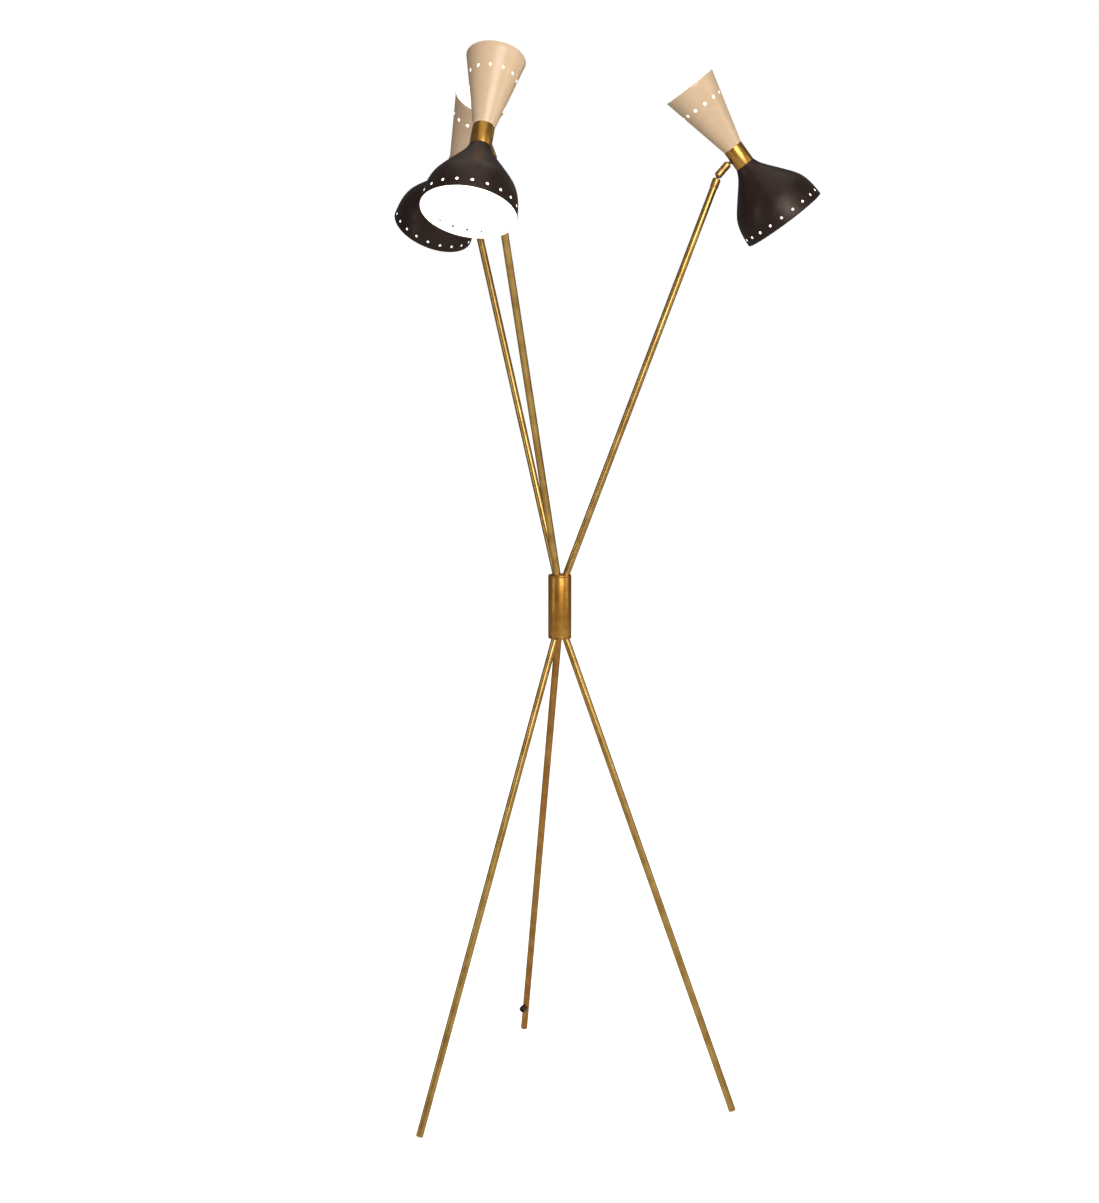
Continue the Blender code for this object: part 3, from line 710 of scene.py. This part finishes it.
def half_barrel_outline():
    half = BALL_PITCH / 2 - 0.1 * MM
    lip = math.degrees(math.acos(BARREL_LIP / CUP_R))
    cup = ball_arc(CUP_R, lip, 180, 14)
    cup[-1] = (0, CUP_R)
    outline = list(reversed(cup))
    outline += smoothed([(5.25 * MM, -BARREL_LIP), (6.1 * MM, -BARREL_LIP + 0.7 * MM),
                         (6.55 * MM, -BARREL_LIP + 1.9 * MM), (BARREL_R, -BARREL_LIP + 3.6 * MM)], 3)
    outline += round_corner((BARREL_R - 0.35 * MM, half - 1.0 * MM), 0.35 * MM, 0, 90, 3)
    floor_r = BARREL_R - GROOVE_DEPTH
    outline += [(floor_r, half - 0.65 * MM), (floor_r, half), (0, half)]
    return outline


def pivot_outline():
    inside = BALL_TO_COLLAR + 2.2 * MM
    blend = math.degrees(math.asin(STEM_R / BALL_R))
    flange_r = STEM_R + 1.1 * MM
    flange = [(STEM_R, BALL_TO_COLLAR - 1.6 * MM), (flange_r, BALL_TO_COLLAR - 1.3 * MM),
              (flange_r, BALL_TO_COLLAR - 0.45 * MM), (STEM_R, BALL_TO_COLLAR - 0.35 * MM)]
    head = [(STEM_R, inside), (STUD_HEAD_R, inside)]
    head += [(STUD_HEAD_R, inside + STUD_HEAD), (0, inside + STUD_HEAD)]
    return [(0, -BALL_R)] + ball_arc(BALL_R, 0, 180 - blend, 18)[1:] + flange + head


def make_swivels():
    neck = turned("neck", neck_outline(), 32)
    low = turned("half_low", half_barrel_outline(), 48)
    high = turned("half_high", half_barrel_outline(), 48)
    stud = turned("stud", pivot_outline(), 32)
    pieces = {
        # The neck and the stud take the dark brass that is painted shade.
        "neck": (neck, "neck", "ball_stem_", painted_shade_metal, "dark_brass", "neck"),
        "half_barrel_lower": (low, "barrel", "barrel_lower_", swivel_brass, "aged_brass", "barrel"),
        "half_barrel_upper": (high, "barrel_far", "barrel_upper_", swivel_brass, "aged_brass", "barrel"),
        "stud": (stud, "pivot", "pivot_", painted_shade_metal, "dark_brass", "stud")}
    for number, side in enumerate(ARM_AZIMUTH):
        places = lamp_places(side)
        for name, (pattern, place, node, finish, slot, body) in pieces.items():
            piece = copied(pattern, name + "_" + side)
            fitted(piece, places[place], body + "_" + side, node + side, finish, shift=0.1 * number)
    for pattern, *_ in pieces.values():
        bpy.data.objects.remove(pattern, do_unlink=True)
    print("swivels:", len(pieces) * len(ARM_AZIMUTH), "pieces")


make_swivels()

# %% [markdown]
# ## The collar
#
# The collar is a plain band of brighter brass between the shades, with crisp
# edges and one hole in its side for the stud. Its draw marks run along the
# shade's axis, which is what stretches the highlight into a long stripe.

# %% Collars
COLLAR_WALL = 1.6 * MM
COLLAR_STEPS = 96
STUD_HOLE_NEAR = -6 * MM
STUD_HOLE_FAR = -26 * MM


def make_collars():
    inner = COLLAR_R - COLLAR_WALL
    half = COLLAR_HALF + 0.1 * MM
    wall = [(inner, -half), (COLLAR_R, -half), (COLLAR_R, half), (inner, half)]
    band = turned("collar", wall, COLLAR_STEPS)
    bevelled(band, 0.3 * MM, segments=3)
    drilled(band, drill(STEM_R + FIT, STUD_HOLE_FAR, STUD_HOLE_NEAR, 24, turn("Y", -90.0)))
    for number, side in enumerate(ARM_AZIMUTH):
        piece = copied(band, "collar_band_" + side)
        place = lamp_places(side)["down"]
        fitted(piece, place, "shade_" + side, "collar_" + side, collar_brass,
               shift=0.4 * number)
    bpy.data.objects.remove(band, do_unlink=True)
    print("collars ready")


make_collars()

# %% [markdown]
# ## The shades
#
# Both shades are spun from thin sheet with a flat floor that is clamped to the
# collar. The outside is drawn first, then the same curve one wall thickness
# further in, and the rim between them is rounded. The rows of holes are drilled
# square to the surface. Outside and inside have different enamels on one piece
# of metal, so the faces behind the middle of the wall get the second material,
# the white lining with its painted glow. White spray from inside also reaches the
# walls of the holes, so away from the neck the border lies a little further out
# and the hole walls carry the painted glow too.

# %% Shade shells
CONE_LENGTH = 127.7 * MM
CONE_RIM_R = 47.9 * MM
BELL_SHAPE = (
    (0.0, 17.5), (11.0, 22.5), (20.3, 28.9), (30.0, 36.6), (40.0, 44.8), (50.0, 52.8),
    (60.0, 60.5), (71.0, 67.4), (85.0, 72.4), (101.0, 75.1), (118.2, 76.3))
SHADE_TURN = {
    "cone": {"right": 23.5, "back": 8.0, "front": 18.5},
    "bell": {"right": 15.0, "back": 6.0, "front": 9.0}}
SHADE_FLOOR = 1.6 * MM
NIPPLE_HOLE_R = 5.3 * MM
WALL = 1.1 * MM
NECK_ZONE = 15 * MM
BORDER_AT_NECK = 0.6                # share of the wall that keeps the outside enamel
BORDER = 0.4
CONE_ROW = {"holes": 12, "radius": 2.45 * MM, "from_rim": 38.5 * MM}
BELL_ROW = {"holes": 20, "radius": 2.3 * MM, "from_rim": 12.5 * MM}
BELL_ROW_R = 75.5 * MM
BELL_ROW_TILT = 4.5
PUNCH = 4 * MM                      # how far the drill goes each side of the wall
HOLE_STEPS = 24
CONE_STEPS = 96
CONE_RINGS = 16
BELL_STEPS = 108


def shell_outline(outer):
    """Outside curve, rounded rim, inside curve and the flat floor, as one loop."""
    inner = []
    for index, (radius, height) in enumerate(outer):
        before = outer[max(index - 1, 0)]
        after = outer[min(index + 1, len(outer) - 1)]
        run = Vector((after[0] - before[0], after[1] - before[1])).normalized()
        inner.append((radius - run.y * WALL, height + run.x * WALL))
    rim_out = Vector(outer[-1])
    rim_in = Vector((rim_out.x - WALL, rim_out.y))
    centre = (rim_out + rim_in) / 2 - Vector((0, WALL / 2))
    rim = [(centre.x + WALL / 2 * math.cos(a), centre.y + WALL / 2 * math.sin(a))
           for a in (math.pi * step / 6 for step in range(7))]
    inner = [point for point in inner if SHADE_FLOOR < point[1] < centre.y - WALL]
    loop = [(NIPPLE_HOLE_R, 0.0)] + outer[:-1] + rim + list(reversed(inner))
    return loop + [(inner[0][0] - 0.3 * MM, SHADE_FLOOR), (NIPPLE_HOLE_R, SHADE_FLOOR)]


def drill_row(shell, row, middle, height, tilt):
    for number in range(row["holes"]):
        round_by = turn("Z", 360.0 * number / row["holes"])
        spot = round_by @ move(middle, 0, height) @ turn("Y", 90.0 - tilt)
        drilled(shell, drill(row["radius"], -PUNCH, PUNCH, HOLE_STEPS, spot))


def two_sided(shell, outer, outside, inside):
    """Faces nearer the axis than the border in the wall take the inside enamel."""
    shell.data.materials.clear()
    shell.data.materials.append(outside)
    shell.data.materials.append(inside)
    heights = [point[1] for point in outer]
    for face in shell.data.polygons:
        centre = face.center
        radius = math.hypot(centre.x, centre.y)
        along = min(max(centre.z, heights[0]), heights[-1])
        index = next(i for i, h in enumerate(heights[1:], 1) if h >= along)
        share = (along - heights[index - 1]) / (heights[index] - heights[index - 1])
        skin = outer[index - 1][0] + (outer[index][0] - outer[index - 1][0]) * share
        border = BORDER if centre.z > NECK_ZONE else BORDER_AT_NECK
        deep = radius < skin - border * WALL
        # Material 1 is the white lining with its painted glow.
        face.material_index = 1 if deep and centre.z > 0.5 * SHADE_FLOOR else 0


def cone_shell():
    neck = COLLAR_R - 0.2 * MM
    widening = CONE_RIM_R - neck
    outer = [(neck + widening * s / CONE_RINGS, (CONE_LENGTH - FIT) * s / CONE_RINGS)
             for s in range(CONE_RINGS + 1)]
    shell = turned("cone", shell_outline(outer), CONE_STEPS)
    height = CONE_LENGTH - CONE_ROW["from_rim"]
    middle = neck + widening * height / CONE_LENGTH
    drill_row(shell, CONE_ROW, middle, height, math.degrees(math.atan2(widening, CONE_LENGTH)))
    two_sided(shell, outer, cream_enamel, lining_painted_glow)
    return shell


def bell_shell():
    outer = smoothed([(radius * MM, height * MM) for height, radius in BELL_SHAPE], 4)
    shell = turned("bell", shell_outline(outer), BELL_STEPS)
    height = outer[-1][1] - BELL_ROW["from_rim"]
    drill_row(shell, BELL_ROW, BELL_ROW_R, height, BELL_ROW_TILT)
    two_sided(shell, outer, dark_enamel, lining_painted_glow)
    return shell


def make_shades():
    lift = move(0, 0, COLLAR_HALF + FIT)
    patterns = {
        "cone": (cone_shell(), "up", "cream_enamel"),
        "bell": (bell_shell(), "down", "brown_enamel")}
    for name, (pattern, way, slot) in patterns.items():
        for number, side in enumerate(ARM_AZIMUTH):
            piece = copied(pattern, name + "_shade_" + side)
            place = lamp_places(side)[way] @ lift @ turn("Z", SHADE_TURN[name][side])
            fitted(piece, place, "shade_" + side, name + "_" + side, None, shift=0.5 * number)
        print(name, len(pattern.data.polygons), "faces")
        bpy.data.objects.remove(pattern, do_unlink=True)


make_shades()

# %% [markdown]
# ## Lamp holders and bulbs
#
# In each shade a white pot holds a bulb: a slim one in the cone, a round one in
# the bell. They hardly show from in front, where the lit shades are all glow,
# but they do from below and above, and they are what lights the shades.

# %% Holders and bulbs
# radius and length of each holder, in millimetres
HOLDERS = {"up": (10.5, 34.0), "down": (13.0, 40.0)}
# side of each bulb's glass: radius, height over the holder, in millimetres
BULBS = {
    "up": ((6.6, 0.0), (7.2, 6.0), (9.8, 12.0), (12.2, 20.0),
           (13.2, 30.0), (12.2, 40.0), (8.6, 48.5), (3.4, 53.0)),
    "down": ((9.0, 0.0), (9.8, 6.0), (13.6, 12.0), (18.4, 20.0),
             (22.2, 32.0), (21.4, 44.0), (16.0, 53.5), (6.0, 59.6))}
HOLDER_FLOOR = 11 * MM
HOLDER_WALL = 2.0 * MM
GROOVES = (0.35, 0.45, 0.55)        # shares of the holder's length
BULB_CAP = 20 * MM


def holder_outline(way):
    radius, length = (value * MM for value in HOLDERS[way])
    low = SHADE_FLOOR + 0.1 * MM
    top = low + length
    outline = [(NIPPLE_HOLE_R, low), (radius - 1.0 * MM, low)]
    outline += round_corner((radius - 1.0 * MM, low + 1.0 * MM), 1.0 * MM, -90, 0, 3)
    for groove in GROOVES:
        level = low + length * groove
        outline += [(radius, level - 0.8 * MM), (radius - 0.7 * MM, level - 0.3 * MM),
                    (radius - 0.7 * MM, level + 0.3 * MM), (radius, level + 0.8 * MM)]
    outline += round_corner((radius - 0.7 * MM, top - 0.7 * MM), 0.7 * MM, 0, 90, 3)
    inner = radius - HOLDER_WALL
    outline += [(inner, top), (inner, low + HOLDER_FLOOR), (NIPPLE_HOLE_R, low + HOLDER_FLOOR)]
    return outline


def bulb_outline(way):
    radius, length = (value * MM for value in HOLDERS[way])
    base = SHADE_FLOOR + FIT + length + 0.5 * MM
    cap = radius - 2.4 * MM
    glass = smoothed([(r * MM, base + h * MM) for r, h in BULBS[way]], 4)
    screw = [(0, base - BULB_CAP), (cap, base - BULB_CAP), (cap, base - 1.0 * MM)]
    return screw + glass + [(0, glass[-1][1] + 0.7 * MM)]


def make_lights():
    lift = move(0, 0, COLLAR_HALF + FIT)
    for way in HOLDERS:
        holder = turned("holder", holder_outline(way), 48)
        bulb = turned("bulb", bulb_outline(way), 48)
        for number, side in enumerate(ARM_AZIMUTH):
            place = lamp_places(side)[way] @ lift
            body = "shade_" + side
            end = way + "_" + side
            fitted(copied(holder, "holder_" + end), place, body, "socket_" + end,
                   porcelain, shift=0.2 * number)
            fitted(copied(bulb, "lit_bulb_" + end), place, body, "bulb_" + end,
                   opal_glass, shift=0.2 * number, smooth=50.0)
        for pattern in (holder, bulb):
            bpy.data.objects.remove(pattern, do_unlink=True)
    print("lights ready,", len(made), "pieces so far")


make_lights()

# %% [markdown]
# ## The pieces that stay as they are
#
# The threaded tubes inside the collars are never seen. They keep their solids
# and only get a metal finish with object coordinates, since a carried solid has
# no attribute of its own.

# %% Finish for the inner tubes
def plain_metal(name):
    finish, nodes, links = new_finish(name)
    shader = nodes["Principled BSDF"]
    shader.inputs["Metallic"].default_value = 1.0
    place = nodes.new("ShaderNodeTexCoord").outputs["Object"]
    clouds = noise(nodes, links, place, 60.0, 4.0, 0.6)
    links.new(ramp(nodes, links, clouds, ((0.3, (0.16, 0.10, 0.04)), (0.7, (0.32, 0.20, 0.08)))),
              shader.inputs["Base Color"])
    links.new(spread(nodes, links, clouds, 0.3, 0.5), shader.inputs["Roughness"])
    bumped(nodes, links, noise(nodes, links, place, 900.0), 0.1, 0.0001, shader)
    return finish


tube_metal = plain_metal("tube metal")
for side in ARM_AZIMUTH:
    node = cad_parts["nipple_" + side]
    node.data.materials.clear()
    node.data.materials.append(tube_metal)
    for face in node.data.polygons:
        face.material_index = 0
print("inner tubes:", [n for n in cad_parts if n.startswith("nipple")])

# %% [markdown]
# ## Floor, room and light
#
# The lamp stands on a plain white floor in a white room. The floor looks as
# bright as the room behind it, but only to the eye, so it throws no light up
# into the shades. Brass only looks like brass when it has something to mirror,
# so the room that the metal sees is much darker than the one behind the lamp,
# and four soft panels draw the long highlights.

# %% Floor and room
def make_floor():
    nothing_selected()
    bpy.ops.mesh.primitive_plane_add(size=60.0, location=(0, 0, 0))
    floor = bpy.context.object
    floor.name = "floor"
    finish, nodes, links = new_finish("white floor")
    shader = nodes["Principled BSDF"]
    shader.inputs["Base Color"].default_value = (0.9, 0.9, 0.9, 1.0)
    shader.inputs["Roughness"].default_value = 0.8
    shader.inputs["Specular IOR Level"].default_value = 0.1
    shader.inputs["Emission Color"].default_value = (1.0, 1.0, 1.0, 1.0)
    path = nodes.new("ShaderNodeLightPath")
    links.new(path.outputs["Is Camera Ray"], shader.inputs["Emission Strength"])
    floor.data.materials.append(finish)
    return floor


AROUND_THE_METAL = 0.14     # brightness of the room as the pieces see it


def make_room():
    world = bpy.data.worlds.new("room")
    bpy.context.scene.world = world
    world.use_nodes = True
    nodes = world.node_tree.nodes
    links = world.node_tree.links
    nodes.clear()
    behind = nodes.new("ShaderNodeBackground")
    behind.inputs["Color"].default_value = (1.0, 1.0, 1.0, 1.0)
    behind.inputs["Strength"].default_value = 1.0
    around = nodes.new("ShaderNodeBackground")
    around.inputs["Color"].default_value = (1.0, 0.985, 0.96, 1.0)
    around.inputs["Strength"].default_value = AROUND_THE_METAL
    path = nodes.new("ShaderNodeLightPath")
    choice = nodes.new("ShaderNodeMixShader")
    out = nodes.new("ShaderNodeOutputWorld")
    links.new(path.outputs["Is Camera Ray"], choice.inputs["Fac"])
    links.new(around.outputs["Background"], choice.inputs[1])
    links.new(behind.outputs["Background"], choice.inputs[2])
    links.new(choice.outputs["Shader"], out.inputs["Surface"])


def panel(name, place, aim, width, height, power, colour):
    """A soft rectangular light of so many watts that faces its aim."""
    light = bpy.data.lights.new(name, "AREA")
    light.shape = "RECTANGLE"
    light.size = width
    light.size_y = height
    light.energy = power
    light.color = colour
    thing = bpy.data.objects.new(name, light)
    bpy.context.scene.collection.objects.link(thing)
    thing.location = place
    way = Vector(aim) - Vector(place)
    thing.rotation_euler = way.to_track_quat("-Z", "Y").to_euler()


make_floor()
make_room()
panel("key", (0.9, -3.0, 2.5), (0, 0, 1.3), 2.0, 2.2, 82.0, (1.0, 0.97, 0.93))
panel("side", (3.0, -0.9, 1.7), (0, 0, 1.2), 0.9, 2.4, 15.0, (1.0, 0.92, 0.84))
panel("overhead", (0.0, -0.3, 3.7), (0, -0.3, 0), 2.2, 3.4, 18.0, (1.0, 0.93, 0.86))
panel("fill", (-2.6, -1.2, 1.5), (0, 0, 1.1), 0.4, 2.4, 10.0, (1.0, 0.98, 0.96))
bpy.context.scene.view_settings.view_transform = "Standard"
print("room ready")

# %% [markdown]
# ## The camera
#
# The camera stands a little over three metres away at the height of a standing
# person's chest and looks slightly down, which is why the feet spread out below
# and the mouth of the front bell shows.

# %% Camera
CAMERA_BACK = 3318.6 * MM
CAMERA_HEIGHT = 1336.3 * MM
CAMERA_ASIDE = -18.2 * MM
CAMERA_PITCH = 7.46
SENSOR = 36.0
FOCAL = 56.5436


def make_camera():
    lens = bpy.data.cameras.new("camera")
    lens.lens = FOCAL
    lens.sensor_width = SENSOR
    lens.clip_start = 0.05
    lens.clip_end = 100.0
    camera = bpy.data.objects.new("camera", lens)
    bpy.context.scene.collection.objects.link(camera)
    camera.location = (
        HUB_AXIS[0] + CAMERA_ASIDE, HUB_AXIS[1] - CAMERA_BACK, CAMERA_HEIGHT)
    camera.rotation_euler = (math.radians(90.0 - CAMERA_PITCH), 0.0, 0.0)
    bpy.context.scene.camera = camera
    print("lens", round(lens.lens, 2), "mm")


make_camera()

# %% [markdown]
# ## Count the triangles
#
# The triangles of the finer pieces are counted.

# %% Triangle count
print("triangles:", sum(len(p.data.loop_triangles) or len(p.data.polygons) * 2 for p in made))
